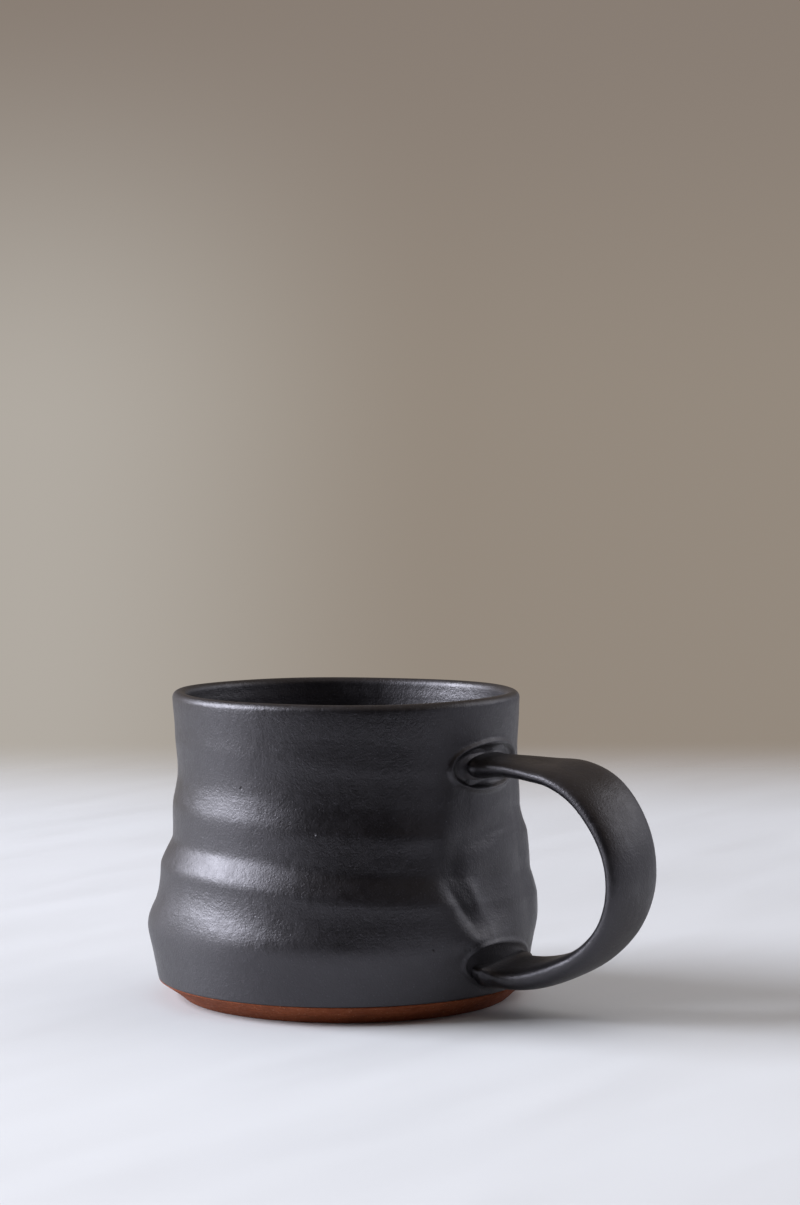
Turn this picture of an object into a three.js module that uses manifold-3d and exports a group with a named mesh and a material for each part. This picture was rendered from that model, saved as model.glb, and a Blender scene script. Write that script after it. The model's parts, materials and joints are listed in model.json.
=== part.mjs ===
// A squat, hand-thrown mug in dark glazed terracotta with a pulled strap handle, in millimetres.
// The cup's axis is Z, the table is z = 0 and the handle stands out along +X. The thrown clay, the clay
// handle, the slip and the coils that join them, and the three coats of glaze are separate solids.
import * as THREE from "three";
import { ParametricGeometry } from "three/addons/geometries/ParametricGeometry.js";
import { mergeVertices } from "three/addons/utils/BufferGeometryUtils.js";
import Module from "manifold-3d";

const wasm = await Module();
wasm.setup();

const { clamp, degToRad, euclideanModulo, lerp, smoothstep } = THREE.MathUtils;
const CENTRE = new THREE.Vector2(0, 0);

// ---------------------------------------------------------------- driving dimensions
const LIP_HEIGHT = 79.6; // crown of the lip above the table
const LIP_ROUND = 1.8; // radius of the lip's crown
const CORNER_HEIGHT = 5.0; // where the glazed wall ends and the bare bevel starts
const FOOT_RADIUS = 42.8; // flat underside
const COAT = 0.6; // thickness of a coat of glaze
const GAP = 0.3; // clear space between touching solids
const CLAY_DEPTH = COAT + GAP; // the clay lies this far under the glazed skin
const SLIP = 0.8; // thickness of the slip that joins the handle

const LIP_SPRING = LIP_HEIGHT - LIP_ROUND; // where the lip's arc starts
// Mean outside and inside radii of the glazed wall, as [height, radius], without its throwing rings.
const OUTER_WALL = [
  [CORNER_HEIGHT, 48.35], [12, 49.6], [20, 51.0], [28, 49.4], [36, 48.0],
  [44, 46.15], [52, 45.25], [60, 44.5], [68, 44.8], [LIP_SPRING, 45.4],
];
const INNER_WALL = [[73.7, 41.5], [60, 40.5], [50, 41.0], [40, 42.4], [30, 44.4], [20, 45.4], [14, 44.6]];
const SKIRT_HEIGHT = 74.0; // the outer coat wraps over the lip and ends here, inside
const FLOOR_CORNER = { radius: 34, height: 14, wide: 10.6, deep: 7.1 };

// Throwing rings: one spiral ridge that climbs the wall, crisp at its crest and broad in its valley.
const RING_PITCH = 16.6;
const RING_CREST = { angle: degToRad(215), height: 51.5 }; // a point that the crest passes through
const RING_UPPER_FACE = 0.5; // share of the pitch that slopes in above the crest
const RING_CRISPNESS = 0.85; // below 1 makes the crest sharper than the valley
const RING_RELIEF = [[CORNER_HEIGHT, 0.05], [12, 0.1], [20, 0.3], [30, 0.63], [42, 0.75], [54, 0.35], [66, 0.15], [76, 0]];
const SMOOTHED = { spread: degToRad(24), share: 0.55 }; // the rings are wiped down beside the handle
const INNER_SHARE = 0.35; // how much of the outside's relief the inside wall shows
const WALL_THICKNESS = 4.6;
// The wall sits off the cup's axis, towards this angle, by [height, distance].
const LEAN_ANGLE = degToRad(215);
const LEAN = [[CORNER_HEIGHT, 0.95], [16, 1.05], [30, -0.25], [50, -0.3], [LIP_SPRING, -0.15]];
const DENT = { angle: degToRad(-9), height: 33, depth: 1.2, wide: 8, tall: 8.5 }; // a finger's press in the wall

// Handle: the strap's centre line from the upper root to the lower one, as [x, z].
const HANDLE_LINE = [
  [39, 62.4], [46.5, 62.8], [54, 63.0], [60.5, 62.6], [67, 61.9], [74.4, 58.7], [80.9, 51.8],
  [85, 42.6], [85.5, 34], [82.6, 25.3], [76.4, 18.4], [68, 13.8], [60, 11.3], [52, 10.6], [41, 12.4],
];
// Along the strap, as [share of its length, value].
const STRAP_HALF_WIDTH = [[0.1, 9.2], [0.3, 10.7], [0.5, 10.9], [0.7, 9.8], [0.85, 10.4], [1, 11.4]];
const STRAP_HALF_THICKNESS = [[0.05, 3.4], [0.15, 2.8], [0.3, 2.9], [0.5, 2.5], [0.7, 2.9], [0.85, 3.5], [0.93, 3.1]];
const STRAP_TWIST = [[0, 0], [0.25, degToRad(8)], [0.5, 0], [1, 0]]; // turns one edge above the other
const STRAP_SQUARENESS = 2.5; // exponent of the section's superellipse
const COIL = { reach: 3.6, rise: 3.4, lift: 2.3 }; // the join's coil: out along the strap, sideways, and up

// Facets.
const AROUND = 32; // steps round the cup
const STEPS = { outer: 18, lip: 4, skirt: 1, inner: 7, corner: 4, floor: 1 };
const STRAP_AROUND = 12;
const STRAP_ALONG = 32;
const ROOT_CROWDING = 0.6; // above 0 brings the strap's rings closer together towards its roots
const MERGE = 1e-4;

// ---------------------------------------------------------------- small helpers
// Straight interpolation through [x, y] pairs whose x rises.
function between(pairs, x) {
  const last = pairs.length - 1;
  if (x <= pairs[0][0]) return pairs[0][1];
  if (x >= pairs[last][0]) return pairs[last][1];
  const i = pairs.findIndex(([at]) => at > x);
  const [x0, y0] = pairs[i - 1];
  const [x1, y1] = pairs[i];
  return lerp(y0, y1, (x - x0) / (x1 - x0));
}

// A three.js geometry as a manifold-3d solid: vertices merged, collapsed triangles dropped, faces out.
function toSolid(geometry) {
  geometry.deleteAttribute("normal");
  geometry.deleteAttribute("uv");
  const merged = mergeVertices(geometry, MERGE);
  const index = merged.index.array;
  const triangles = [];
  for (let i = 0; i < index.length; i += 3) {
    const [a, b, c] = [index[i], index[i + 1], index[i + 2]];
    if (a !== b && b !== c && c !== a) triangles.push(a, b, c);
  }
  const vertProperties = merged.attributes.position.array;
  const made = new wasm.Manifold(
    new wasm.Mesh({ numProp: 3, vertProperties, triVerts: new Uint32Array(triangles) }),
  );
  if (made.volume() > 0) return made;
  const turned = triangles.map((_, i) => triangles[i % 3 === 1 ? i + 1 : i % 3 === 2 ? i - 1 : i]);
  return new wasm.Manifold(
    new wasm.Mesh({ numProp: 3, vertProperties, triVerts: new Uint32Array(turned) }),
  );
}

// A manifold-3d solid as a named three.js mesh.
function toMesh(name, solid, material) {
  const { numProp, numVert, triVerts, vertProperties } = solid.getMesh();
  const positions = new Float32Array(numVert * 3);
  for (let i = 0; i < numVert; i++) {
    positions.set(vertProperties.subarray(i * numProp, i * numProp + 3), i * 3);
  }
  const geometry = new THREE.BufferGeometry();
  geometry.setAttribute("position", new THREE.BufferAttribute(positions, 3));
  geometry.setIndex(new THREE.BufferAttribute(triVerts, 1));
  geometry.computeVertexNormals();
  const mesh = new THREE.Mesh(geometry, material);
  mesh.name = name;
  return mesh;
}

// ---------------------------------------------------------------- the potter's hand
// Height of the spiral ridge over its mean surface, from -1 in the valley to 1 at the crest.
function ringWave(angle, height) {
  const turns = (angle - RING_CREST.angle) / (2 * Math.PI);
  const phase = euclideanModulo((height - RING_CREST.height) / RING_PITCH + turns, 1);
  const fromCrest =
    phase < RING_UPPER_FACE ? phase / RING_UPPER_FACE : (1 - phase) / (1 - RING_UPPER_FACE);
  return Math.cos(Math.PI * fromCrest ** RING_CRISPNESS);
}

// How far the outside wall stands off its mean radius at an angle and a height.
function relief(angle, height) {
  const fromHandle = Math.abs(euclideanModulo(angle + Math.PI, 2 * Math.PI) - Math.PI);
  const wiped = 1 - SMOOTHED.share * Math.exp(-((fromHandle / SMOOTHED.spread) ** 2));
  const rings = between(RING_RELIEF, height) * ringWave(angle, height) * wiped;
  const lean = between(LEAN, height) * Math.cos(angle - LEAN_ANGLE);
  const across = Math.sin(angle - DENT.angle) * between(OUTER_WALL, height);
  const isNear = Math.cos(angle - DENT.angle) > 0;
  const press = isNear
    ? DENT.depth * Math.exp(-((across / DENT.wide) ** 2) - ((height - DENT.height) / DENT.tall) ** 2)
    : 0;
  return rings + lean - press;
}

// Moves every vertex of a turned geometry out or in as the potter's hand did.
function handThrown(geometry) {
  const position = geometry.attributes.position;
  const vertex = new THREE.Vector3();
  for (let i = 0; i < position.count; i++) {
    vertex.fromBufferAttribute(position, i);
    const radius = Math.hypot(vertex.x, vertex.y);
    if (radius < MERGE) continue;
    const depth = between(OUTER_WALL, vertex.z) - radius;
    const share = lerp(1, INNER_SHARE, clamp(depth / WALL_THICKNESS, 0, 1)) * smoothstep(radius, 22, 40);
    const grown = radius + share * relief(Math.atan2(vertex.y, vertex.x), vertex.z);
    position.setXY(i, (vertex.x * grown) / radius, (vertex.y * grown) / radius);
  }
  return geometry;
}

// Turns a profile of (radius, height) points about the cup's axis.
function turned(profile) {
  const lathe = handThrown(new THREE.LatheGeometry(profile, AROUND).rotateX(Math.PI / 2));
  const { array, count } = lathe.attributes.position;
  array.copyWithin((count - profile.length) * 3, 0, profile.length * 3); // the seam's two sides agree
  return toSolid(lathe);
}

// ---------------------------------------------------------------- the cup's section
const toPoint = ([height, radius]) => new THREE.Vector2(radius, height);
const LIP_RADIUS = OUTER_WALL.at(-1)[1] - LIP_ROUND;
const SKIRT_RADIUS = INNER_WALL[0][1];
const { radius: cornerRadius, height: cornerHeight, wide: cornerWide, deep: cornerDeep } = FLOOR_CORNER;

// The glazed skin's outline: up the outside, over the lip, down the inside and in to the axis.
const outerRun = new THREE.SplineCurve(OUTER_WALL.map(toPoint));
const lipRun = new THREE.EllipseCurve(LIP_RADIUS, LIP_SPRING, LIP_ROUND, LIP_ROUND, 0, Math.PI, false, 0);
const skirtRun = new THREE.LineCurve(lipRun.getPoint(1), new THREE.Vector2(SKIRT_RADIUS, SKIRT_HEIGHT));
const innerRun = new THREE.SplineCurve(INNER_WALL.map(toPoint));
const cornerRun = new THREE.EllipseCurve(
  cornerRadius, cornerHeight, cornerWide, cornerDeep, 0, -Math.PI / 2, true, 0,
);
const floorRun = new THREE.LineCurve(cornerRun.getPoint(1), new THREE.Vector2(0, cornerHeight - cornerDeep));

// Points along one stretch of the skin, sunk below it by depth.
function along(run, steps, depth) {
  return Array.from({ length: steps + 1 }, (_, i) => {
    const point = run.getPoint(i / steps);
    const tangent = run.getTangent(i / steps);
    return new THREE.Vector2(point.x - tangent.y * depth, point.y + tangent.x * depth);
  });
}

const outside = (depth) => along(outerRun, STEPS.outer, depth);
const overLip = (depth) => [
  ...along(lipRun, STEPS.lip, depth).slice(1),
  ...along(skirtRun, STEPS.skirt, depth).slice(1),
];
const inside = (depth) => [
  ...along(innerRun, STEPS.inner, depth),
  ...along(cornerRun, STEPS.corner, depth).slice(1),
  ...along(floorRun, STEPS.floor, depth).slice(1),
];

// The dipped coat: up the outside, over the lip and a little way down the inside.
function outerGlaze() {
  const face = [...outside(0), ...overLip(0)];
  const back = [...outside(COAT), ...overLip(COAT)].reverse();
  return turned([...face, ...back, face[0].clone()]);
}

// The poured coat: a thin cup that lines the inside.
function linerGlaze() {
  return turned([...inside(COAT).reverse(), ...inside(0)]);
}

// Terracotta: a flat foot, a bare bevel, then the wall and floor that lie under the glaze.
function thrownCup() {
  const clay = [...outside(CLAY_DEPTH), ...overLip(CLAY_DEPTH), ...inside(CLAY_DEPTH)];
  const bevelTop = new THREE.Vector2(OUTER_WALL[0][1], CORNER_HEIGHT - GAP);
  return turned([new THREE.Vector2(0, 0), new THREE.Vector2(FOOT_RADIUS, 0), bevelTop, ...clay]);
}

// Everything inside the clay wall's outer face, grown by a margin. It trims what meets the wall.
function wallEnvelope(margin) {
  const face = outside(CLAY_DEPTH - margin);
  return turned([new THREE.Vector2(0, face[0].y), ...face, new THREE.Vector2(0, face.at(-1).y)]);
}

// ---------------------------------------------------------------- the handle
const handleLine = new THREE.CatmullRomCurve3(
  HANDLE_LINE.map(([x, z]) => new THREE.Vector3(x, 0, z)), false, "centripetal",
);

// How far a join's coil swells at a distance from the wall: full at the wall, rounding off to nothing.
function coilSwell(point) {
  const fromWall = point.x - between(OUTER_WALL, point.z);
  return 1 - clamp(fromWall / COIL.reach, 0, 1) ** 2;
}

// A solid along the strap. A depth gives the clay under the glaze, and the coils swell it near the wall.
function strapSolid({ depth = 0, hasCoils = true }) {
  const point = new THREE.Vector3();
  const tangent = new THREE.Vector3();
  const section = new THREE.Vector2();
  const rounded = (value) => Math.sign(value) * Math.abs(value) ** (2 / STRAP_SQUARENESS);
  const surface = (aroundShare, alongShare, target) => {
    const ring = Math.round(alongShare * (STRAP_ALONG + 2));
    const share = clamp((ring - 1) / STRAP_ALONG, 0, 1);
    const u = share - (ROOT_CROWDING / (2 * Math.PI)) * Math.sin(2 * Math.PI * share);
    handleLine.getPointAt(u, point);
    if (ring === 0 || ring === STRAP_ALONG + 2) return target.copy(point); // the end's middle closes it
    handleLine.getTangentAt(u, tangent);
    const angle = (aroundShare % 1) * 2 * Math.PI;
    const swell = hasCoils ? coilSwell(point) : 0;
    const halfWidth = between(STRAP_HALF_WIDTH, u) - depth + COIL.rise * swell;
    const halfThickness = between(STRAP_HALF_THICKNESS, u) - depth + COIL.lift * swell;
    section
      .set(halfWidth * rounded(Math.cos(angle)), halfThickness * rounded(Math.sin(angle)))
      .rotateAround(CENTRE, between(STRAP_TWIST, u));
    return target.set(point.x - tangent.z * section.y, section.x, point.z + tangent.x * section.y);
  };
  return toSolid(new ParametricGeometry(surface, STRAP_AROUND, STRAP_ALONG + 2));
}

// A block that holds one of the handle's two roots.
function rootBlock([x, z]) {
  return toSolid(new THREE.BoxGeometry(32, 60, 34).translate(x, 0, z));
}

// Slip between the strap's end and the clay wall.
function slipJoint(block) {
  return strapSolid({ depth: CLAY_DEPTH, hasCoils: false })
    .intersect(wallEnvelope(GAP + SLIP))
    .subtract(wallEnvelope(GAP))
    .intersect(block);
}

// The coil of clay pressed round the strap where it meets the wall.
function joinCoil(block) {
  return strapSolid({ depth: CLAY_DEPTH })
    .subtract(strapSolid({ depth: COAT, hasCoils: false }))
    .subtract(wallEnvelope(GAP))
    .intersect(block);
}

const upperRoot = rootBlock(HANDLE_LINE[0]);
const lowerRoot = rootBlock(HANDLE_LINE.at(-1));
const strapClay = strapSolid({ depth: CLAY_DEPTH, hasCoils: false }).subtract(wallEnvelope(GAP + SLIP + GAP));
const strapCoat = strapSolid({}).subtract(strapSolid({ depth: COAT })).subtract(wallEnvelope(GAP));
const wallCoat = outerGlaze().subtract(strapSolid({ depth: -GAP }));

const MATERIALS = {
  clay: new THREE.MeshStandardMaterial({ color: 0xa5603f, roughness: 0.85, metalness: 0 }),
  slip: new THREE.MeshStandardMaterial({ color: 0x96573a, roughness: 0.9, metalness: 0 }),
  glaze: new THREE.MeshStandardMaterial({ color: 0x2a282d, roughness: 0.42, metalness: 0.05 }),
};

const mug = new THREE.Group();
mug.add(
  toMesh("cup_body", thrownCup(), MATERIALS.clay),
  toMesh("handle_strap", strapClay, MATERIALS.clay),
  toMesh("upper_slip_joint", slipJoint(upperRoot), MATERIALS.slip),
  toMesh("lower_slip_joint", slipJoint(lowerRoot), MATERIALS.slip),
  toMesh("upper_join_coil", joinCoil(upperRoot), MATERIALS.clay),
  toMesh("lower_join_coil", joinCoil(lowerRoot), MATERIALS.clay),
  toMesh("outer_glaze", wallCoat, MATERIALS.glaze),
  toMesh("liner_glaze", linerGlaze(), MATERIALS.glaze),
  toMesh("handle_glaze", strapCoat, MATERIALS.glaze),
);

export default mug;
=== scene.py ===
"""A squat hand-thrown mug of red clay under a satin black glaze, with a pulled strap handle.

The clay cup, the clay strap, the coils and slip that join them and the three coats of glaze are separate
pieces, each in the place of its CAD node. Sizes are in millimetres, with the cup's axis on Z, the table
at z = 0 and the handle along +X. The meshes themselves are in metres.
"""

from __future__ import annotations

import json
import logging
import math
from collections.abc import Callable, Iterator, Mapping, Sequence
from contextlib import contextmanager
from dataclasses import dataclass, field
from enum import Enum

import bmesh
import bpy
import numpy as np
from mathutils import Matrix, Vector

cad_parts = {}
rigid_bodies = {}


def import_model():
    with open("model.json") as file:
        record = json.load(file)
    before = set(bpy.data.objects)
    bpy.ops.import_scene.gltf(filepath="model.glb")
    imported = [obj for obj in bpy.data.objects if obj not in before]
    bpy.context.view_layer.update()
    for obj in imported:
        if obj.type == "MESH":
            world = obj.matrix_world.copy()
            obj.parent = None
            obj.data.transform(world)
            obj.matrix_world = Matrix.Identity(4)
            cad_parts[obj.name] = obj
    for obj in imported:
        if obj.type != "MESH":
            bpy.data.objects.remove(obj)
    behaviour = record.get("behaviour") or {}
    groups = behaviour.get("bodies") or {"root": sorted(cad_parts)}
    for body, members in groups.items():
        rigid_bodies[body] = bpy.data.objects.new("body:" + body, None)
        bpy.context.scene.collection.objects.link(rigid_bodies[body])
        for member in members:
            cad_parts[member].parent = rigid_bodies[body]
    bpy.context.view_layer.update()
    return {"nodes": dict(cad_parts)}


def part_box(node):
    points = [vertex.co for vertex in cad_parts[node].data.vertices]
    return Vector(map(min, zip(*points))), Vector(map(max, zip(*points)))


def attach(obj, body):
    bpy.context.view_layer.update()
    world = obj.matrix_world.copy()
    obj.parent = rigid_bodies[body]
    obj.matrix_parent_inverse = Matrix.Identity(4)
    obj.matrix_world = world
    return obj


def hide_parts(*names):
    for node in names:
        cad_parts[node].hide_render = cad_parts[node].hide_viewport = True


MM = 0.001
BODY = "root"
SEGMENTS = 224
TINY = 1e-6

Array = np.ndarray
Piece = bpy.types.Object
Socket = bpy.types.NodeSocket
Station = tuple[float, float]
Pairs = Sequence[Station]
Colour = tuple[float, float, float]
Place = tuple[float, float, float]

log = logging.getLogger("mug")


# ---- numbers
def eased(pairs: Pairs, x: Array | float) -> Array:
    """Read a smooth curve through some points.

    Args:
        pairs: The points, as (x, y), with x rising.
        x: Where to read the curve. Past either end it holds the end's value.

    Returns:
        The curve's y at each x.
    """
    knots, values = np.array(pairs, float).T
    slopes = np.gradient(values, knots)
    x = np.clip(x, knots[0], knots[-1])
    i = np.clip(np.searchsorted(knots, x, side="right") - 1, 0, len(knots) - 2)
    span = knots[i + 1] - knots[i]
    t = (x - knots[i]) / span
    ease_out = 2 * t**3 - 3 * t**2 + 1
    near = ease_out * values[i] + (t**3 - 2 * t**2 + t) * span * slopes[i]
    far = (1 - ease_out) * values[i + 1] + (t**3 - t**2) * span * slopes[i + 1]
    return near + far


def smoothstep(x: Array | float, low: float, high: float) -> Array:
    """Ease from 0 at low to 1 at high."""
    t = np.clip((np.asarray(x, float) - low) / (high - low), 0, 1)
    return t * t * (3 - 2 * t)


def bell(x: Array | float, width: float) -> Array:
    """Give a bell curve that is 1 at x = 0 and 1/e at x = width."""
    return np.exp(-((np.asarray(x, float) / width) ** 2))


def squared(value: Array, power: Array | float) -> Array:
    """Raise a sine or cosine to a power with its sign kept, which squares up a round section."""
    return np.sign(value) * np.abs(value) ** power


def spaced(start: float, end: float, step: float) -> Array:
    """Give evenly spaced values between two ends, about a step apart."""
    return np.linspace(start, end, round(abs(end - start) / step) + 1)


def rows(radii: Array, heights: Array | float) -> Array:
    """Pair radii with heights, as the rows of a section line."""
    return np.stack(np.broadcast_arrays(radii, heights), axis=1)


def sunk(line: Array, depth: float) -> Array:
    """Move a section line to its left, which on the cup is into the wall."""
    run = np.gradient(line, axis=0)
    run /= np.linalg.norm(run, axis=1)[:, None]
    return line + depth * rows(-run[:, 1], run[:, 0])


def arc(centre: Station, radii: Station, start: float, end: float, steps: int) -> Array:
    """Give a section line along part of an ellipse, with angles in degrees."""
    angles = np.radians(np.linspace(start, end, steps + 1))
    return rows(centre[0] + radii[0] * np.cos(angles), centre[1] + radii[1] * np.sin(angles))


# ---- the bench
def clear_selection() -> None:
    """Leave nothing selected, so that an operator acts only on the piece in hand."""
    for item in bpy.context.view_layer.objects:
        item.select_set(False)


def take_up(piece: Piece) -> None:
    """Make one piece the selected and active object."""
    clear_selection()
    piece.select_set(True)
    bpy.context.view_layer.objects.active = piece


@contextmanager
def editing(piece: Piece) -> Iterator[None]:
    """Hold a piece in edit mode, selecting by vertex."""
    take_up(piece)
    bpy.ops.object.mode_set(mode="EDIT")
    bpy.ops.mesh.select_mode(type="VERT")
    try:
        yield
    finally:
        bpy.ops.object.mode_set(mode="OBJECT")


def select_where(piece: Piece, chosen: Callable[[Vector], bool]) -> None:
    """Select the vertices, in edit mode, whose place in millimetres passes a test."""
    mesh = bmesh.from_edit_mesh(piece.data)
    for vertex in mesh.verts:
        vertex.select_set(chosen(vertex.co / MM))
    mesh.select_flush(True)
    mesh.select_flush(False)
    bmesh.update_edit_mesh(piece.data)


def select_open_edges(piece: Piece) -> None:
    """Select, in edit mode, the edges with a face on one side only."""
    mesh = bmesh.from_edit_mesh(piece.data)
    for item in (*mesh.verts, *mesh.edges, *mesh.faces):
        item.select = False
    bpy.context.tool_settings.mesh_select_mode = (False, True, False)
    for edge in mesh.edges:
        edge.select_set(edge.is_boundary)
    bmesh.update_edit_mesh(piece.data)


def reshape(piece: Piece, move: Callable[[Array], Array]) -> None:
    """Move every vertex of a piece.

    Args:
        piece: A piece in object mode.
        move: Takes the vertices' places in millimetres, one row each, and returns the new ones.
    """
    places = np.empty(len(piece.data.vertices) * 3)
    piece.data.vertices.foreach_get("co", places)
    moved = move(places.reshape(-1, 3) / MM) * MM
    piece.data.vertices.foreach_set("co", moved.ravel())
    piece.data.update()


def face_out(piece: Piece) -> None:
    """Merge what coincides and point every face outwards."""
    with editing(piece):
        bpy.ops.mesh.select_all(action="SELECT")
        bpy.ops.mesh.remove_doubles(threshold=1e-7)
        bpy.ops.mesh.normals_make_consistent(inside=False)
        bpy.ops.mesh.select_all(action="DESELECT")


def take_new(name: str) -> Piece:
    """Name the primitive that was just added, and its mesh."""
    piece = bpy.context.object
    piece.name = name
    piece.data.name = name
    return piece


class Closing(Enum):
    """How a thrown section is closed."""

    ON_AXIS = "both ends run to the axis"
    ON_ITSELF = "the last point joins the first"


def close_ring() -> None:
    """Close the selected ring with a fan of faces to the axis."""
    bpy.ops.mesh.extrude_region_move()
    bpy.ops.mesh.merge(type="CENTER")


def throw(name: str, closing: Closing, *lines: Array) -> Piece:
    """Throw a round piece on the wheel: open a ring, then pull it from station to station.

    Args:
        name: The piece's name.
        closing: Whether the section ends on the axis at both ends or closes on itself.
        *lines: The section's lines of (radius, height) rows, in the order they are pulled.

    Returns:
        The new piece.
    """
    stations = [(float(radius), float(height)) for radius, height in np.concatenate(lines)]
    clear_selection()
    radius, height = stations[0]
    bpy.ops.mesh.primitive_circle_add(vertices=SEGMENTS, radius=radius * MM, location=(0, 0, height * MM))
    piece = take_new(name)
    bpy.ops.object.transform_apply(location=True, rotation=False, scale=False)
    with editing(piece):
        if closing is Closing.ON_AXIS:
            close_ring()
            select_where(piece, lambda place: place.xy.length > radius / 2)
        else:
            bpy.ops.mesh.select_all(action="SELECT")
        for (from_radius, from_height), (to_radius, to_height) in zip(stations, stations[1:]):
            rise = {"value": (0, 0, (to_height - from_height) * MM)}
            bpy.ops.mesh.extrude_region_move(TRANSFORM_OT_translate=rise)
            spread = to_radius / from_radius
            centre = (0, 0, to_height * MM)
            bpy.ops.transform.resize(value=(spread, spread, 1), center_override=centre)
        if closing is Closing.ON_AXIS:
            close_ring()
        else:
            select_open_edges(piece)
            bpy.ops.mesh.bridge_edge_loops()
    face_out(piece)
    return piece


# ---- the wall
@dataclass(frozen=True)
class FingerMark:
    """A soft press in the wall, or a raised spot where depth is below zero."""

    angle: float
    height: float
    wide: float
    tall: float
    depth: float
    slant: float = 0.0

    def relief(self, angle: Array, height: Array, radius: Array) -> Array:
        """Give how far the mark moves the wall out, at angles in radians."""
        turn = angle - math.radians(self.angle)
        across = np.sin(turn) * radius
        up = height - self.height
        along = across * math.cos(self.slant) + up * math.sin(self.slant)
        over = up * math.cos(self.slant) - across * math.sin(self.slant)
        return -self.depth * bell(along, self.wide) * bell(over, self.tall) * (np.cos(turn) > 0)


class Layer(Enum):
    """What a wall piece follows of the marks round the handle's roots."""

    GLAZE = "collars and channels"
    CLAY = "channels only, as the collars are coils of their own"
    LINER = "nothing"


@dataclass(frozen=True)
class JoinCollar:
    """The raised collar that a thumb leaves round a handle root, with a channel inside it."""

    height: float
    half_wide: float
    half_tall: float
    crest: float
    channel: float
    slope: float = 0.0
    outer_slope: float = 0.85
    inner_slope: float = 0.75
    channel_at: float = 2.4
    channel_half: float = 1.6
    squareness: float = 2.2

    def crest_distance(self, across: Array, height: Array) -> Array:
        """Give the distance outwards from the collar's crest line, in the wall's own surface."""
        up = height - self.height + across * self.slope
        reach = np.hypot(across, up) + TINY
        ratio = (np.abs(across / self.half_wide) ** self.squareness
                 + np.abs(up / self.half_tall) ** self.squareness) ** (1 / self.squareness)
        return reach - reach / (ratio + TINY)

    def relief(self, across: Array, height: Array, layer: Layer) -> Array:
        """Give how far the collar stands off the wall, or the channel lies under it, in one layer."""
        out = self.crest_distance(across, height)
        ridge = self.crest * np.where(out > 0, bell(out, self.outer_slope), bell(out, self.inner_slope))
        channel = self.channel * bell(out + self.channel_at, self.channel_half)
        return ridge * (layer is Layer.GLAZE) - channel


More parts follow.
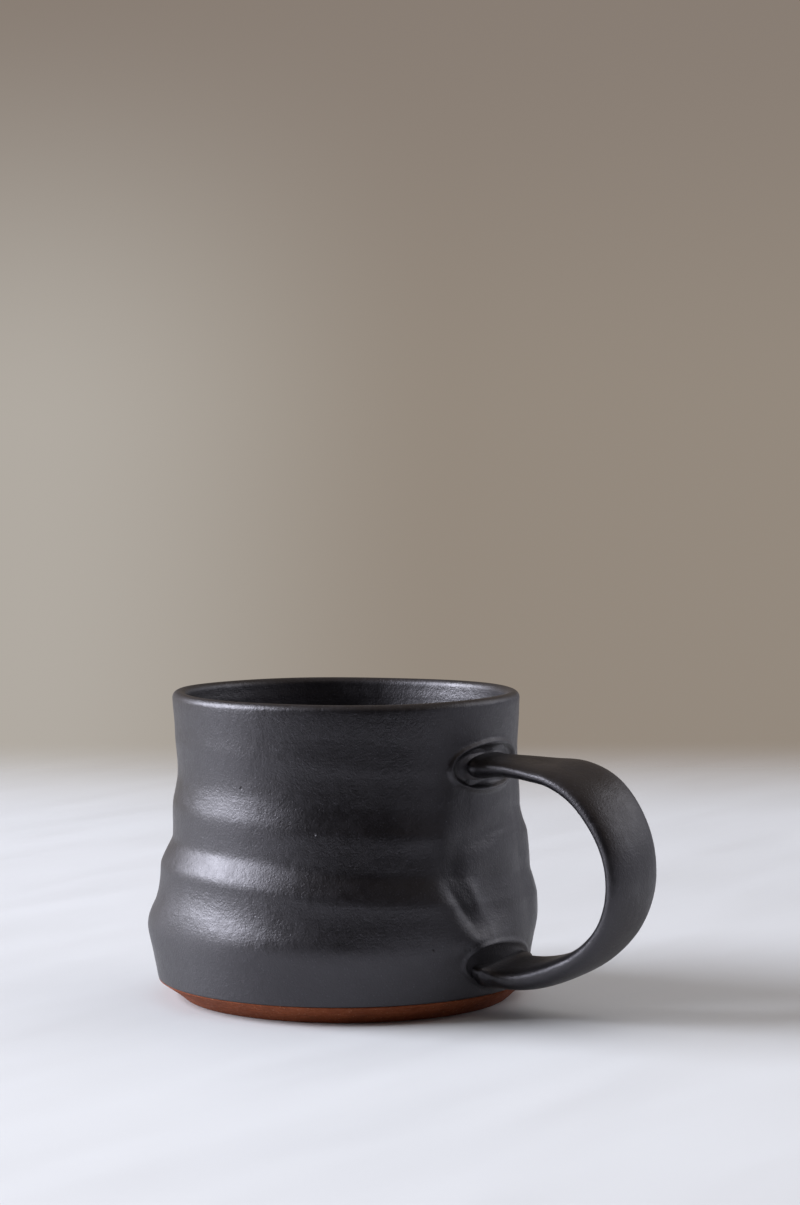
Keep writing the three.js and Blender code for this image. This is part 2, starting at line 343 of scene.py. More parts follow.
@dataclass(frozen=True)
class Wall:
    """The outside of the thrown wall, with all that the potter's hands left on it.

    A pair named for a reach is where its effect begins and where it is full.
    """

    corner: float = 5.0
    lip_spring: float = 77.8
    lip_round: float = 1.8
    skirt: float = 74.0
    skirt_steps: int = 6
    thickness: float = 4.6
    mean: Pairs = (
        (5, 48.35), (12, 49.6), (20, 51.0), (28, 49.4), (36, 48.0),
        (44, 46.15), (52, 45.25), (60, 44.5), (68, 44.8), (77.8, 45.4),
    )
    inner: Pairs = ((14, 44.6), (20, 45.4), (30, 44.4), (40, 42.4), (50, 41.0), (60, 40.5), (74, 41.5))
    floor_corner: Station = (34.0, 14.0)
    floor_corner_radii: Station = (10.6, 7.1)
    floor_corner_length: float = 14.0
    floor_spacing: float = 1.3
    inner_share: float = 0.35
    pressed_reach: Station = (22.0, 40.0)
    pressed_above: float = 0.4
    ring_pitch: float = 16.6
    ring_crest: Station = (215.0, 51.5)
    ring_upper_face: float = 0.4
    ring_crispness: float = 0.98
    ring_drift: Pairs = ((10, 4.0), (18, 3.2), (33, 1.5), (49, 0.8))
    ring_drift_at: Station = (270.0, 30.0)
    ring_calm: Pairs = ((14, 0.9), (30, 0.9), (36, 0.0))
    ring_calm_at: Station = (250.0, 26.0)
    ring_relief: Pairs = (
        (5, 0.05), (12, 0.1), (20, 0.3), (30, 0.6), (42, 0.74), (54, 0.24), (66, 0.15), (77.8, -0.1),
    )
    wiped_spread: float = 24.0
    wiped_share: float = 0.55
    lean_angle: float = 215.0
    lean: Pairs = ((5, 0.95), (16, 1.05), (30, -0.25), (50, -0.3), (77.8, -0.15))
    uneven: tuple[tuple[float, float, float, float], ...] = ((0.07, 3, 9, 0), (0.05, 5, -13, 2))
    waver: tuple[tuple[float, float, float], ...] = ((0.14, 2, 0.7), (0.06, 5, 1.9))
    waver_reach: Station = (60.0, 79.0)
    swirl: float = 0.22
    swirl_pitch: float = 1.05
    swirl_outer_reach: Station = (34.0, 20.0)
    swirl_inner_reach: Station = (1.0, 6.0)
    swirl_height_reach: Station = (4.5, 6.0)
    pool_edge: Pairs = (
        (18, -13.5), (22, -17.5), (27, -21.0), (37, -24.0), (46, -19.5), (58, -16.5), (66, -15.0),
    )
    pool_depth: Pairs = ((17, 0.0), (22, 0.9), (30, 1.25), (37, 1.15), (46, 0.7), (58, 0.45), (68, 0.0))
    pool_bank: float = 8.5
    pool_far_reach: Station = (22.0, 13.0)
    search_rounds: int = 6
    collars: tuple[JoinCollar, ...] = (
        JoinCollar(height=62.6, half_wide=14.6, half_tall=5.8, crest=0.85, channel=0.65),
        JoinCollar(height=12.3, half_wide=15.6, half_tall=5.8, crest=0.45, channel=0.1, slope=0.12),
    )
    marks: tuple[FingerMark, ...] = (
        FingerMark(angle=-4, height=30.5, wide=7.6, tall=8.0, depth=1.15),
        FingerMark(angle=-18.9, height=28.3, wide=1.5, tall=6.5, depth=0.5, slant=0.62),
        FingerMark(angle=-11.8, height=29.8, wide=2.0, tall=5.0, depth=-0.4, slant=0.45),
        FingerMark(angle=-6, height=45.2, wide=10.0, tall=3.0, depth=0.8, slant=0.12),
        FingerMark(angle=-12, height=18.8, wide=10.0, tall=3.0, depth=-0.8),
        FingerMark(angle=250, height=19.5, wide=20.0, tall=7.0, depth=0.8),
        FingerMark(angle=-30, height=41, wide=7.0, tall=4.0, depth=0.35),
        FingerMark(angle=281, height=67, wide=5.0, tall=11.0, depth=0.14),
        FingerMark(angle=255.5, height=12.8, wide=0.9, tall=0.8, depth=-0.22),
    )

    @staticmethod
    def near(angle: Array, spot: Station) -> Array:
        """Give 1 at an angle, easing to 0 away from it; the spot is (middle, spread) in degrees."""
        off_middle = np.degrees(np.mod(angle - math.radians(spot[0]) + math.pi, math.tau) - math.pi)
        return bell(off_middle, spot[1])

    def ring_wave(self, angle: Array, height: Array) -> Array:
        """Give the spiral ridge's height, from -1 in its valley to 1 at its crest."""
        start, crest = self.ring_crest
        turns = (angle - math.radians(start)) / math.tau
        drift = eased(self.ring_drift, height) * self.near(angle, self.ring_drift_at)
        phase = np.mod((height - drift - crest) / self.ring_pitch + turns, 1)
        upper = self.ring_upper_face
        from_crest = np.where(phase < upper, phase / upper, (1 - phase) / (1 - upper))
        crisp = self.ring_crispness
        return np.arcsin(crisp * np.cos(math.pi * from_crest)) / math.asin(crisp)

    def pool(self, across: Array, height: Array) -> Array:
        """Give the depth of the place beside the handle that the thumb wiped hollow."""
        edge = eased(self.pool_edge, height)
        near_bank = smoothstep(across, edge, edge + self.pool_bank)
        return eased(self.pool_depth, height) * near_bank * smoothstep(across, *self.pool_far_reach)

    def relief(self, angle: Array, height: Array, layer: Layer) -> Array:
        """Give how far the wall stands off its mean section.

        Args:
            angle: Angles round the cup from the handle, in radians.
            height: Heights above the table.
            layer: The layer, which says whether the handle's collars and channels count.

        Returns:
            The distance outwards at each place.
        """
        radius = eased(self.mean, height)
        across = np.sin(angle) * radius
        is_handle_side = np.cos(angle) > 0
        kept = 1 - self.wiped_share * self.near(angle, (0.0, self.wiped_spread))
        kept = kept * (1 - eased(self.ring_calm, height) * self.near(angle, self.ring_calm_at))
        total = eased(self.ring_relief, height) * self.ring_wave(angle, height) * kept
        total = total + eased(self.lean, height) * np.cos(angle - math.radians(self.lean_angle))
        for size, waves, rise, shift in self.uneven:
            total = total + size * np.sin(waves * angle + height / rise + shift)
        total = total - self.pool(across, height) * is_handle_side
        for mark in self.marks:
            total = total + mark.relief(angle, height, radius)
        if layer is not Layer.LINER:
            for collar in self.collars:
                total = total + collar.relief(across, height, layer) * is_handle_side
        return total

    def x_at(self, across: Array, height: Array, layer: Layer) -> Array:
        """Find how far out along X the wall lies, at some places across the handle and heights."""
        mean = eased(self.mean, height)
        x = np.sqrt(np.maximum(mean**2 - across**2, 1))
        for _ in range(self.search_rounds):
            radius = mean + self.relief(np.arctan2(across, x), height, layer)
            x = np.sqrt(np.maximum(radius**2 - across**2, 1))
        return x

    def throw_rings(self, piece: Piece, layer: Layer) -> None:
        """Press a turned piece as the potter's hands did, from its mean section."""

        def pressed(places: Array) -> Array:
            """Move the vertices out by the wall's relief, with the lip's waver and the floor's swirl."""
            x, y, z = places.T
            radius = np.hypot(x, y)
            angle = np.arctan2(y, x)
            depth = np.clip((eased(self.mean, z) - radius) / self.thickness, 0, 1)
            share = (1 + (self.inner_share - 1) * depth) * smoothstep(radius, *self.pressed_reach)
            share = share * smoothstep(z, self.pressed_above, self.corner)
            grown = (radius + share * self.relief(angle, z, layer)) / np.maximum(radius, TINY)
            waver = sum(size * np.sin(waves * angle + shift) for size, waves, shift in self.waver)
            swirl = self.swirl * np.sin(radius / self.swirl_pitch - angle)
            swirl = swirl * smoothstep(radius, *self.swirl_outer_reach)
            swirl = swirl * smoothstep(radius, *self.swirl_inner_reach)
            swirl = swirl * smoothstep(z, *self.swirl_height_reach)
            lift = waver * smoothstep(z, *self.waver_reach) + swirl
            return np.stack([x * grown, y * grown, z + lift], axis=1)

        reshape(piece, pressed)

    def outside(self, depth: float, step: float) -> Array:
        """Give the wall's outer section from the corner to the lip."""
        heights = spaced(self.corner, self.lip_spring, step)
        return sunk(rows(eased(self.mean, heights), heights), depth)

    def lip(self, depth: float, steps: int) -> Array:
        """Give the lip's section, over its crown and down to the skirt's end."""
        centre = (self.mean[-1][1] - self.lip_round, self.lip_spring)
        crown = arc(centre, (self.lip_round - depth,) * 2, 0, 180, steps)[1:]
        heights = np.linspace(self.lip_spring, self.skirt, self.skirt_steps)[1:]
        ease = smoothstep(heights, self.skirt, self.lip_spring)
        end = self.inner[-1][1]
        skirt = end + (centre[0] - self.lip_round - end) * ease + depth
        return np.concatenate([crown, rows(skirt, heights)])

    def inside(self, depth: float, step: float) -> Array:
        """Give the inner section from the skirt's end down to the floor's middle."""
        heights = spaced(self.inner[-1][0], self.inner[0][0], step)
        wall = rows(eased(self.inner, heights), heights)
        corner_steps = max(5, round(self.floor_corner_length / step))
        corner = arc(self.floor_corner, self.floor_corner_radii, 0, -90, corner_steps)[1:]
        spacing = step * self.floor_spacing
        radii = np.arange(self.floor_corner[0] - spacing, 1, -spacing)
        floor = rows(radii, self.floor_corner[1] - self.floor_corner_radii[1])
        return sunk(np.concatenate([wall, corner, floor]), depth)


# ---- the cup
@dataclass
class Cup:
    """The thrown cup: red clay, the dipped coat outside and the poured coat inside."""

    wall: Wall
    coat: float = 0.6
    gap: float = 0.3
    foot_radius: float = 42.8
    foot_ring: float = 3.4
    foot_hollow: float = 0.3
    foot_rounding: float = 0.75
    corner_clearance: float = 0.3
    fine_step: float = 1.0
    liner_step: float = 1.5
    coarse_step: float = 2.5
    fine_lip: int = 14
    coarse_lip: int = 6
    handle_half: float = 18.5
    handle_heights: Station = (6.0, 73.0)

    def build_clay(self) -> Piece:
        """Throw the clay: a trimmed foot, a bare bevel, then the wall and floor under the glaze."""
        under = self.coat + self.gap
        radius, corner = self.wall.mean[0][1], self.wall.corner
        hollow_edge = self.foot_radius - self.foot_ring
        hollow = rows(np.arange(1.2, hollow_edge, 1.6), self.foot_hollow)
        pad = np.array([(hollow_edge + 0.5, 0.04), (hollow_edge + 1.1, 0), (self.foot_radius - 0.7, 0)])
        rounding = self.foot_rounding
        foot_round = arc((self.foot_radius - 0.4, rounding), (rounding, rounding), -80, -45, 4)
        bevel_top = np.array([radius - 0.1, corner - self.corner_clearance])
        bevel = np.linspace(foot_round[-1], bevel_top, 9)[1:]
        turn_in = np.array([(radius - 0.2, corner - 0.12)])
        outside = self.wall.outside(under, self.coarse_step)
        lip = self.wall.lip(under, self.coarse_lip)
        inside = self.wall.inside(under, self.coarse_step)[1:]
        foot = (hollow, pad, foot_round, bevel, turn_in)
        piece = throw("clay_cup", Closing.ON_AXIS, *foot, outside, lip, inside)
        self.wall.throw_rings(piece, Layer.CLAY)
        return piece

    def build_outer_coat(self) -> Piece:
        """Dip the outside: from a rolled bottom edge, up the wall, over the lip and down the skirt."""
        radius, corner = self.wall.mean[0][1], self.wall.corner
        roll = np.array([
            (radius - 0.46, corner - 0.06), (radius - 0.2, corner - 0.1), (radius, corner + 0.08),
        ])
        face = self.wall.outside(0, self.fine_step)
        face[0] = (radius + 0.06, corner + 0.35)
        lip = self.wall.lip(0, self.fine_lip)
        back = np.concatenate([
            self.wall.outside(self.coat, self.coarse_step), self.wall.lip(self.coat, self.coarse_lip),
        ])
        piece = throw("outer_coat", Closing.ON_ITSELF, roll, face, lip, back[::-1])
        self.refine_near_handle(piece)
        self.wall.throw_rings(piece, Layer.GLAZE)
        return piece

    def refine_near_handle(self, piece: Piece) -> None:
        """Cut the outer face finer beside the handle, where the finger marks and collars are."""
        low, high = self.handle_heights
        with editing(piece):
            bpy.ops.mesh.select_all(action="DESELECT")
            mesh = bmesh.from_edit_mesh(piece.data)
            bpy.ops.mesh.select_mode(type="FACE")
            for face in mesh.faces:
                middle = face.calc_center_median() / MM
                is_near = abs(middle.y) < self.handle_half and middle.x > 0 and low < middle.z < high
                is_outside = face.normal.dot(Vector((middle.x, middle.y, 0))) > 0
                face.select_set(is_near and is_outside)
            bmesh.update_edit_mesh(piece.data)
            bpy.ops.mesh.subdivide(number_cuts=2)

    def build_liner(self) -> Piece:
        """Pour the inside coat: a thin cup from the skirt's end to the middle of the floor."""
        face = self.wall.inside(0, self.liner_step)
        back = self.wall.inside(self.coat, self.coarse_step)
        face[0][1] -= 0.02
        back[0][1] = face[0][1]
        piece = throw("liner_coat", Closing.ON_AXIS, face[::-1], back)
        self.wall.throw_rings(piece, Layer.LINER)
        return piece


# ---- the handle
@dataclass
class Handle:
    """The pulled strap: a straight tube of strap section that is bent, twisted and joined to the wall.

    A pair named for the roots is its value at the upper one, then at the lower one.
    """

    wall: Wall
    coat: float = 0.6
    gap: float = 0.3
    coat_end: float = -0.35
    clay_end: float = 0.25
    line: Pairs = (
        (39, 62.4), (46.5, 62.8), (54, 63.0), (60.5, 62.6), (67, 61.9), (74.4, 58.7), (80.9, 51.8),
        (85, 42.6), (85.5, 34), (82.6, 25.3), (76.4, 18.4), (68, 13.8), (60, 11.3), (52, 10.6),
        (41, 12.4),
    )
    half_width: Pairs = (
        (0.03, 9.0), (0.15, 9.4), (0.3, 10.7), (0.5, 10.9), (0.7, 9.8), (0.85, 10.4), (0.96, 11.2),
    )
    half_thickness: Pairs = (
        (0.05, 3.1), (0.15, 2.8), (0.3, 2.9), (0.5, 2.5), (0.7, 2.9), (0.85, 3.5), (0.94, 3.3), (1, 3.3),
    )
    twist: Pairs = ((0, -2), (0.12, 2), (0.25, 8), (0.5, 1.5), (0.75, -2.5), (0.88, -5), (1, -3))
    outer_dish: Pairs = ((0.02, 0.1), (0.07, 0.5), (0.14, 1.2), (0.24, 0.8), (0.34, 0), (1, 0))
    inner_dish: Pairs = ((0, 0), (0.62, 0), (0.78, 0.5), (0.88, 0.9), (0.95, 0.6), (1, 0.4))
    squareness: Pairs = ((0, 2.2), (0.18, 2.1), (0.4, 2.5), (0.8, 2.5), (1, 2.2))
    root_flare: Station = (0.4, 1.8)
    root_flare_reach: Station = (1.6, 3.0)
    root_thickening: Station = (0.8, 0.25)
    edge_curl: float = 2.0
    edge_curl_reach: float = 8.0
    root_crowding: float = 0.09
    around: int = 56
    along: int = 170
    clay_around: int = 36
    clay_along: int = 90
    samples: int = 900
    line_samples: int = 2001

    def centre_line(self, share: Array) -> tuple[Array, Array]:
        """Read the strap's centre line.

        Args:
            share: Shares of the line's length, from the upper root to the lower one.

        Returns:
            The points as rows of (x, z), and the unit tangents there.
        """
        points = np.array(self.line, float)
        chord = np.concatenate([[0], np.cumsum(np.linalg.norm(np.diff(points, axis=0), axis=1))])
        fine = np.linspace(0, chord[-1], self.line_samples)
        path = np.stack([eased(list(zip(chord, points[:, i])), fine) for i in (0, 1)], axis=1)
        length = np.concatenate([[0], np.cumsum(np.linalg.norm(np.diff(path, axis=0), axis=1))])
        length /= length[-1]
        tangent = np.gradient(path, axis=0)
        tangent /= np.linalg.norm(tangent, axis=1)[:, None]
        place = np.stack([np.interp(share, length, path[:, i]) for i in (0, 1)], axis=-1)
        heading = np.stack([np.interp(share, length, tangent[:, i]) for i in (0, 1)], axis=-1)
        return place, heading / np.linalg.norm(heading, axis=-1)[..., None]

    def surface(self, share: Array, angle: Array, depth: float) -> Array:
        """Give points on the strap.

        Args:
            share: Shares of the centre line's length.
            angle: Angles round the section, from its edge at +Y, in radians.
            depth: How far the surface is sunk under the glazed one.

        Returns:
            The points, with x, y and z last.
        """
        place, heading = self.centre_line(share)
        power = 2 / eased(self.squareness, share)
        side = squared(np.cos(angle), power)
        face = squared(np.sin(angle), power)
        wide = eased(self.half_width, share) - depth
        thick = eased(self.half_thickness, share) - depth
        off_wall = place[..., 0] - eased(self.wall.mean, place[..., 1])
        is_upper = share < 0.5
        near = np.clip(1 - off_wall / np.where(is_upper, *self.root_flare_reach), 0, 1) ** 2
        flare = np.where(is_upper, *self.root_flare) * near
        across = side * (wide + flare)
        out = face * (thick + flare * np.where(is_upper, *self.root_thickening))
        middle = 1 - np.minimum(np.abs(side), 1) ** 2
        out = out - np.where(face > 0, eased(self.outer_dish, share), 0) * middle * np.abs(face)
        out = out + np.where(face < 0, eased(self.inner_dish, share), 0) * middle * np.abs(face)
        curled = np.clip(1 - off_wall / self.edge_curl_reach, 0, 1) ** 2
        curl = self.edge_curl * np.where(is_upper, 0, curled)
        out = out - curl * np.maximum(-side, 0) ** 5
        turn = np.radians(eased(self.twist, share))
        turned_across = across * np.cos(turn) - out * np.sin(turn)
        turned_out = across * np.sin(turn) + out * np.cos(turn)
        x = place[..., 0] - heading[..., 1] * turned_out
        z = place[..., 1] + heading[..., 0] * turned_out
        return np.stack([x, turned_across, z], axis=-1)

    def wall_crossings(self, angle: Array, depth: float, clearance: float) -> tuple[Array, Array]:
        """Find where each line along the strap meets the wall, as shares of the strap's length.

        Args:
            angle: Angles round the section.
            depth: The strap surface's depth under the glazed one.
            clearance: How far off the glazed wall the strap ends, below zero inside it.

        Returns:
            The shares at the upper root and at the lower root.
        """
        share = np.linspace(0, 1, self.samples)
        points = self.surface(share[:, None], angle[None, :], depth)
        off_wall = points[..., 0] - self.wall.x_at(points[..., 1], points[..., 2], Layer.GLAZE)
        is_out = off_wall > clearance
        middle = self.samples // 2
        upper = middle - np.argmin(is_out[:middle][::-1], axis=0)
        lower = middle + np.argmin(is_out[middle:], axis=0)
        off_end = off_wall - clearance
        return self.refine(share, upper, off_end), self.refine(share, lower, off_end)

    @staticmethod
    def refine(share: Array, index: Array, off_end: Array) -> Array:
        """Place crossings between two samples by straight interpolation."""
        column = np.arange(off_end.shape[1])
        before, after = off_end[index - 1, column], off_end[index, column]
        part = np.clip(before / (before - after + 1e-9), 0, 1)
        return share[index - 1] + part * (share[index] - share[index - 1])

    def pull(self, name: str, around: int, along: int, depth: float, clearance: float) -> Piece:
        """Pull a straight tube along X, then bend it into the strap and run its ends to the wall.

        Args:
            name: The piece's name.
            around: How many vertices a ring of it has.
            along: How many rings it is pulled.
            depth: How far the surface is sunk under the glazed one.
            clearance: Where the ends stop, from the glazed wall.

        Returns:
            The new piece, open at both ends.
        """
        clear_selection()
        upright = (math.pi / 2, 0, math.pi / 2)
        bpy.ops.mesh.primitive_circle_add(vertices=around, radius=MM, rotation=upright)
        piece = take_new(name)
        bpy.ops.object.transform_apply(location=True, rotation=True, scale=False)
        with editing(piece):
            bpy.ops.mesh.select_all(action="SELECT")
            for _ in range(along):
                bpy.ops.mesh.extrude_region_move(TRANSFORM_OT_translate={"value": (MM, 0, 0)})

        def bent(tube: Array) -> Array:
            """Carry the tube's vertices to the strap, with its rings closer together at the roots."""
            angle = np.arctan2(tube[:, 2], tube[:, 1])
            part = tube[:, 0] / along
            part = part - self.root_crowding * np.sin(math.tau * part)
            corners, which = np.unique(np.round(angle, 5), return_inverse=True)
            upper, lower = self.wall_crossings(corners, depth, clearance)
            share = upper[which] + part * (lower - upper)[which]
            return self.surface(share, angle, depth)

        reshape(piece, bent)
        return piece

    def build_coat(self) -> Piece:
        """Make the strap's coat of glaze: a sleeve, open at both roots."""
        piece = self.pull("handle_coat", self.around, self.along, 0, self.coat_end)
        face_out(piece)
        thickness = piece.modifiers.new("coat", "SOLIDIFY")
        thickness.thickness = self.coat * MM
        thickness.offset = -1
        take_up(piece)
        bpy.ops.object.modifier_apply(modifier=thickness.name)
        return piece

    def build_clay(self) -> Piece:
        """Make the clay strap under the coat, ending on its slip."""
        under = self.coat + self.gap
        piece = self.pull("clay_strap", self.clay_around, self.clay_along, under, self.clay_end)
        with editing(piece):
            select_open_edges(piece)
            bpy.ops.mesh.edge_face_add()
        face_out(piece)
        return piece


@dataclass
class JoinCoil:
    """A coil of clay laid round a handle root and pressed onto the wall, under the glaze."""

    wall: Wall
    collar: JoinCollar
    name: str
    ring: float = 10.0
    section: float = 0.7
    cover: float = 0.9
    above_corner: float = 0.4
    around: int = 96
    round_section: int = 14

    def build(self) -> Piece:
        """Roll the coil and lay it on the wall along the collar's crest."""
        clear_selection()
        bpy.ops.mesh.primitive_torus_add(
            major_segments=self.around, minor_segments=self.round_section,
            major_radius=self.ring * MM, minor_radius=self.section * MM,
        )
        piece = take_new(self.name)
        reshape(piece, self.lay)
        face_out(piece)
        return piece

    def lay(self, ring: Array) -> Array:
        """Move the flat ring's vertices to the wall: its plane becomes the wall, its axis points out."""
        around = np.arctan2(ring[:, 1], ring[:, 0])
        outwards = np.hypot(ring[:, 0], ring[:, 1]) - self.ring
        power = 2 / self.collar.squareness
        across = squared(np.cos(around), power) * (self.collar.half_wide + outwards)
        up = squared(np.sin(around), power) * (self.collar.half_tall + outwards)
        height = self.collar.height + up - across * self.collar.slope
        height = np.maximum(height, self.wall.corner + self.above_corner)
        wall_x = self.wall.x_at(across, height, Layer.CLAY)
        lift = self.collar.crest - self.cover - self.section
        return np.stack([wall_x + lift + ring[:, 2], across, height], axis=1)


# ---- shader graphs
def tint(colour: Socket | Colour) -> Socket | tuple[float, ...]:
    """Give a linear colour full alpha, and leave a socket as it is."""
    return (*colour, 1.0) if isinstance(colour, tuple) else colour


class Graph:
    """A node tree that is written as nested calls."""

    def __init__(self, tree: bpy.types.NodeTree) -> None:
        """Start on an empty tree."""
        self.tree = tree
        tree.nodes.clear()

    def node(
        self, kind: str, inputs: Mapping[str | int, object] | None = None, **settings: object
    ) -> bpy.types.Node:
        """Add a node.

        Args:
            kind: The node's type.
            inputs: For each input, by name or number, a socket to link or a value to set.
            **settings: The node's own properties.

        Returns:
            The new node.
        """
        made = self.tree.nodes.new(kind)
        for key, value in settings.items():
            setattr(made, key, value)
        for key, value in (inputs or {}).items():
            if isinstance(value, Socket):
                self.tree.links.new(value, made.inputs[key])
            else:
                made.inputs[key].default_value = value
        return made

    def maths(self, operation: str, first: Socket | float, second: Socket | float = 0.0) -> Socket:
        """Add a Math node and give its result."""
        return self.node("ShaderNodeMath", {0: first, 1: second}, operation=operation).outputs[0]

    def times(self, first: Socket | float, second: Socket | float) -> Socket:
        """Multiply two values."""
        return self.maths("MULTIPLY", first, second)

    def plus(self, first: Socket | float, second: Socket | float) -> Socket:
        """Add two values."""
        return self.maths("ADD", first, second)

    def minus(self, first: Socket | float, second: Socket | float) -> Socket:
        """Take one value from another."""
        return self.maths("SUBTRACT", first, second)

    def vector(self, operation: str, first: Socket, second: Sequence[float] = (0, 0, 0)) -> Socket:
        """Add a Vector Math node and give the number that it puts out."""
        made = self.node("ShaderNodeVectorMath", {0: first, 1: second}, operation=operation)
        return made.outputs["Value"]

    def span(
        self, value: Socket, low: float, high: float, to_low: float = 0.0, to_high: float = 1.0
    ) -> Socket:
        """Map a value smoothly from one range to another."""
        ends = {"Value": value, "From Min": low, "From Max": high, "To Min": to_low, "To Max": to_high}
        return self.node("ShaderNodeMapRange", ends, interpolation_type="SMOOTHSTEP").outputs["Result"]

    def mix(self, share: Socket | float, first: Socket | Colour, second: Socket | Colour) -> Socket:
        """Mix two colours."""
        inputs = {0: share, 6: tint(first), 7: tint(second)}
        return self.node("ShaderNodeMix", inputs, data_type="RGBA").outputs[2]

    def noise(
        self, vector: Socket, scale: float | Socket, detail: float = 2.0, roughness: float = 0.5
    ) -> Socket:
        """Add a noise texture and give its value."""
        inputs = {"Vector": vector, "Scale": scale, "Detail": detail, "Roughness": roughness}
        return self.node("ShaderNodeTexNoise", inputs).outputs["Fac"]

    def streaks(self, vector: Socket, scale: Place) -> Socket:
        """Add a noise that is drawn out by its own scale along each axis."""
        stretched = self.node("ShaderNodeMapping", {"Vector": vector, "Scale": scale}).outputs["Vector"]
        return self.noise(stretched, 1.0, 3.0, 0.6)

    def bump(self, grain: Station, height: Socket, below: Socket | None = None) -> Socket:
        """Turn a height into a normal, over another one if given; the grain is (metres deep, strength)."""
        inputs: dict[str | int, object] = {"Height": height, "Distance": grain[0], "Strength": grain[1]}
        if below is not None:
            inputs["Normal"] = below
        return self.node("ShaderNodeBump", inputs).outputs["Normal"]

    def use(self, group: bpy.types.NodeTree, vector: Socket, **values: float) -> Sequence[Socket]:
        """Put a group into the tree with its own values, and give its outputs."""
        return self.node("ShaderNodeGroup", {"Vector": vector, **values}, node_tree=group).outputs

    def surface(self, **inputs: object) -> None:
        """End a material in a Principled surface; an underscore stands for a space in an input's name."""
        named = {key.replace("_", " "): value for key, value in inputs.items()}
        shader = self.node("ShaderNodeBsdfPrincipled", named)
        self.node("ShaderNodeOutputMaterial", {"Surface": shader.outputs[0]})


class Effects:
    """The shader groups that more than one finish uses, each built once."""

    def __init__(self) -> None:
        """Build every group."""
        self.flecks = self.build_flecks()
        self.mottle = self.build_mottle()
        self.wheel_lines = self.build_wheel_lines()

    @staticmethod
    def start(
        name: str, numbers: Mapping[str, float], outputs: Sequence[str]
    ) -> tuple[Graph, Mapping[str, Socket], Mapping[str, Socket]]:
        """Open a group with a Vector input.

        Args:
            name: The group's name.
            numbers: Its number inputs and their usual values.
            outputs: Its number outputs.

        Returns:
            The group's graph, its inputs as seen inside it, and the sockets that its outputs take.
        """
        tree = bpy.data.node_groups.new(name, "ShaderNodeTree")
        tree.interface.new_socket("Vector", in_out="INPUT", socket_type="NodeSocketVector")
        for label, value in numbers.items():
            socket = tree.interface.new_socket(label, in_out="INPUT", socket_type="NodeSocketFloat")
            socket.default_value = value
        for label in outputs:
            tree.interface.new_socket(label, in_out="OUTPUT", socket_type="NodeSocketFloat")
        graph = Graph(tree)
        inside = tree.nodes.new("NodeGroupInput").outputs
        return graph, inside, tree.nodes.new("NodeGroupOutput").inputs

    def build_flecks(self) -> bpy.types.NodeTree:
        """Scatter round flecks: a mask of the chosen cells' middles, and a random tone for each fleck."""
        numbers = {"Scale": 1000.0, "Share": 0.3, "Radius": 0.3}
        graph, inside, out = self.start("flecks", numbers, ("Mask", "Tone"))
        inputs = {"Vector": inside["Vector"], "Scale": inside["Scale"]}
        cells = graph.node("ShaderNodeTexVoronoi", inputs).outputs
        chance, size, tone = graph.node("ShaderNodeSeparateColor", {"Color": cells["Color"]}).outputs
        chosen = graph.maths("LESS_THAN", chance, inside["Share"])
        size = graph.times(inside["Radius"], graph.span(size, 0, 1, 0.45, 1))
        edge = graph.minus(size, cells["Distance"])
        body = graph.span(graph.maths("DIVIDE", edge, size), 0, 0.6)
        graph.tree.links.new(graph.times(chosen, body), out["Mask"])
        graph.tree.links.new(tone, out["Tone"])
        return graph.tree

    def build_mottle(self) -> bpy.types.NodeTree:
        """Vary a surface slowly and unevenly, as a kiln does, from 0 to 1."""
        graph, inside, out = self.start("kiln_mottle", {"Scale": 60.0, "Contrast": 0.5}, ("Factor",))
        broad = graph.noise(inside["Vector"], inside["Scale"], 3.0, 0.55)
        fine = graph.noise(inside["Vector"], graph.times(inside["Scale"], 5.3))
        both = graph.plus(graph.times(broad, 0.7), graph.times(fine, 0.3))
        scaled = graph.times(graph.minus(both, 0.5), graph.times(inside["Contrast"], 5.0))
        factor = graph.node("ShaderNodeClamp", {"Value": graph.plus(scaled, 0.5)}).outputs[0]
        graph.tree.links.new(factor, out["Factor"])
        return graph.tree

    def build_wheel_lines(self) -> bpy.types.NodeTree:
        """Draw fine uneven lines round the axis, as a sponge or a trimming tool leaves on a turning pot."""
        graph, inside, out = self.start("wheel_lines", {"Lines": 900.0, "Wander": 14.0}, ("Height",))
        axes = graph.node("ShaderNodeSeparateXYZ", {"Vector": inside["Vector"]}).outputs
        flat = graph.node("ShaderNodeCombineXYZ", {"X": axes["X"], "Y": axes["Y"]}).outputs[0]
        along = graph.plus(axes["Z"], graph.times(graph.vector("LENGTH", flat), 0.45))
        sway = graph.noise(flat, inside["Wander"], 1.0)
        line = graph.times(graph.plus(along, graph.times(sway, 0.002)), inside["Lines"])
        inputs = {"W": line, "Scale": 1.0, "Detail": 3.0}
        coarse = graph.node("ShaderNodeTexNoise", inputs, noise_dimensions="1D")
        graph.tree.links.new(coarse.outputs["Fac"], out["Height"])
        return graph.tree


def new_material(name: str) -> tuple[bpy.types.Material, Graph, Mapping[str, Socket]]:
    """Start a material, and give it with its graph and its coordinates."""
    material = bpy.data.materials.new(name)
    material.use_nodes = True
    graph = Graph(material.node_tree)
    return material, graph, graph.node("ShaderNodeTexCoord").outputs


